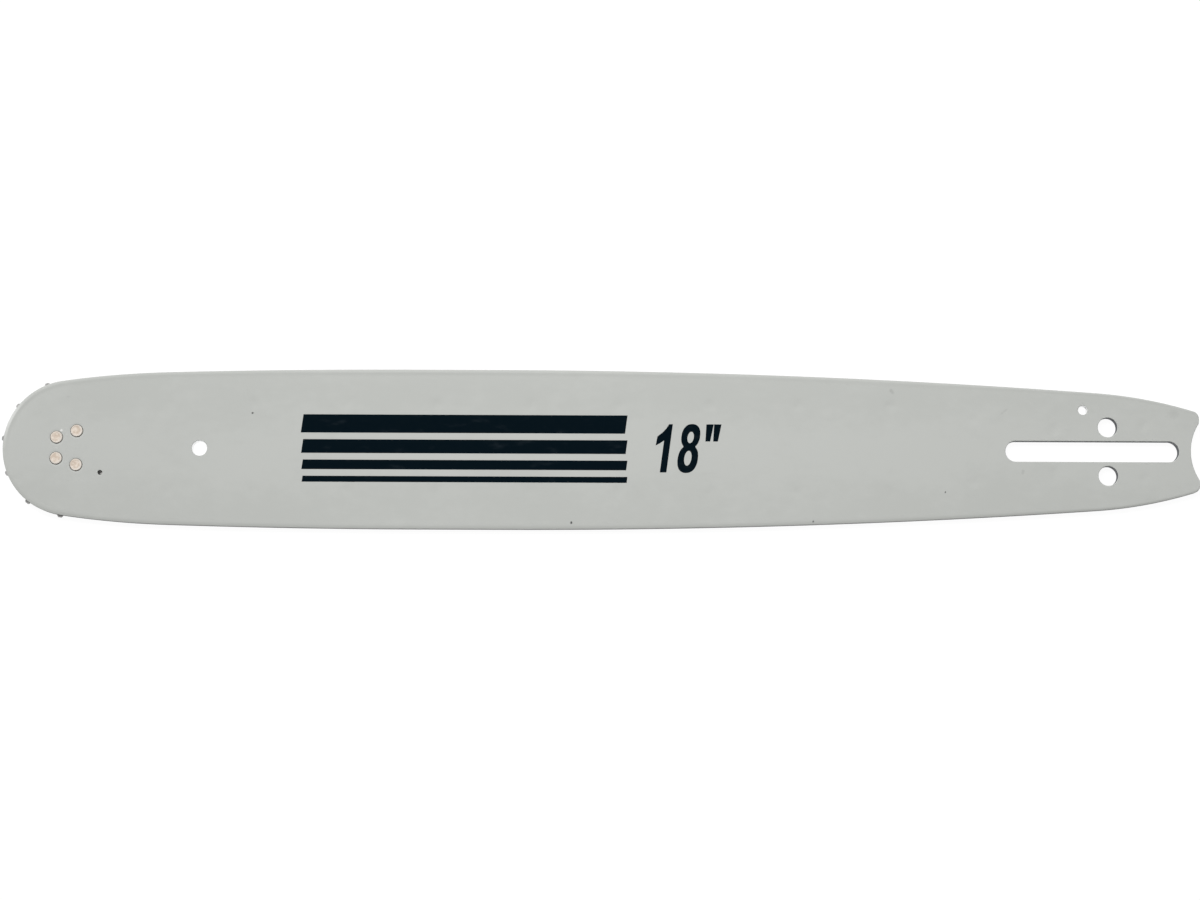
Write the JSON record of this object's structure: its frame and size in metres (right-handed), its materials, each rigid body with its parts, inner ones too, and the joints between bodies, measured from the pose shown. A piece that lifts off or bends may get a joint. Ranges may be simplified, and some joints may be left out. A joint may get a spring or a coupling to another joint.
{
  "type": "chainsaw guide bar",
  "caption": "Flat laminated chainsaw guide bar with a chain groove round its edge, a stud slot at the tail and a free-running toothed sprocket in its nose.",
  "frame": {"origin": "centre of the stud slot, on the underside of the rear side plate", "axes": "+X along the bar from the sprocket nose to the mounting tail, +Z out of the front face"},
  "size_m": [0.521, 0.0696, 0.0046],
  "materials": {
    "grey_paint": "satin pale grey enamel",
    "core_steel": "rolled steel, oiled",
    "sprocket_steel": "blanked and hardened",
    "bearing_steel": "ground",
    "rivet_copper": "copper washed steel"
  },
  "bodies": {
    "bar": {"bearing_race": "bearing_steel", "core_plate": "core_steel", "nose_rivets": "rivet_copper", "side_plate_front": "grey_paint", "side_plate_rear": "grey_paint"},
    "sprocket": {"nose_sprocket": "sprocket_steel"},
    "roller_ring": {"bearing_roller_01": "bearing_steel", "bearing_roller_02": "bearing_steel", "bearing_roller_03": "bearing_steel", "bearing_roller_04": "bearing_steel", "bearing_roller_05": "bearing_steel", "bearing_roller_06": "bearing_steel", "bearing_roller_07": "bearing_steel", "bearing_roller_08": "bearing_steel", "bearing_roller_09": "bearing_steel", "bearing_roller_10": "bearing_steel", "bearing_roller_11": "bearing_steel", "bearing_roller_12": "bearing_steel", "bearing_roller_13": "bearing_steel", "bearing_roller_14": "bearing_steel", "bearing_roller_15": "bearing_steel", "bearing_roller_16": "bearing_steel", "bearing_roller_17": "bearing_steel", "bearing_roller_18": "bearing_steel", "bearing_roller_19": "bearing_steel", "bearing_roller_20": "bearing_steel", "bearing_roller_21": "bearing_steel", "bearing_roller_22": "bearing_steel", "bearing_roller_23": "bearing_steel", "bearing_roller_24": "bearing_steel", "bearing_roller_25": "bearing_steel", "bearing_roller_26": "bearing_steel", "bearing_roller_27": "bearing_steel", "bearing_roller_28": "bearing_steel", "bearing_roller_29": "bearing_steel"}
  },
  "joints": [
    {"name": "sprocket_spin", "type": "hinge", "parent": "bar", "child": "sprocket", "pos_m": [-0.444, 0, 0.0023], "axis": [0, 0, 1], "continuous": true},
    {"name": "roller_orbit", "type": "hinge", "parent": "bar", "child": "roller_ring", "pos_m": [-0.444, 0, 0.0023], "axis": [0, 0, 1], "continuous": true}
  ],
  "couplings": [
    {"joint": "roller_orbit", "follows": "sprocket_spin", "ratio": 0.554}
  ]
}
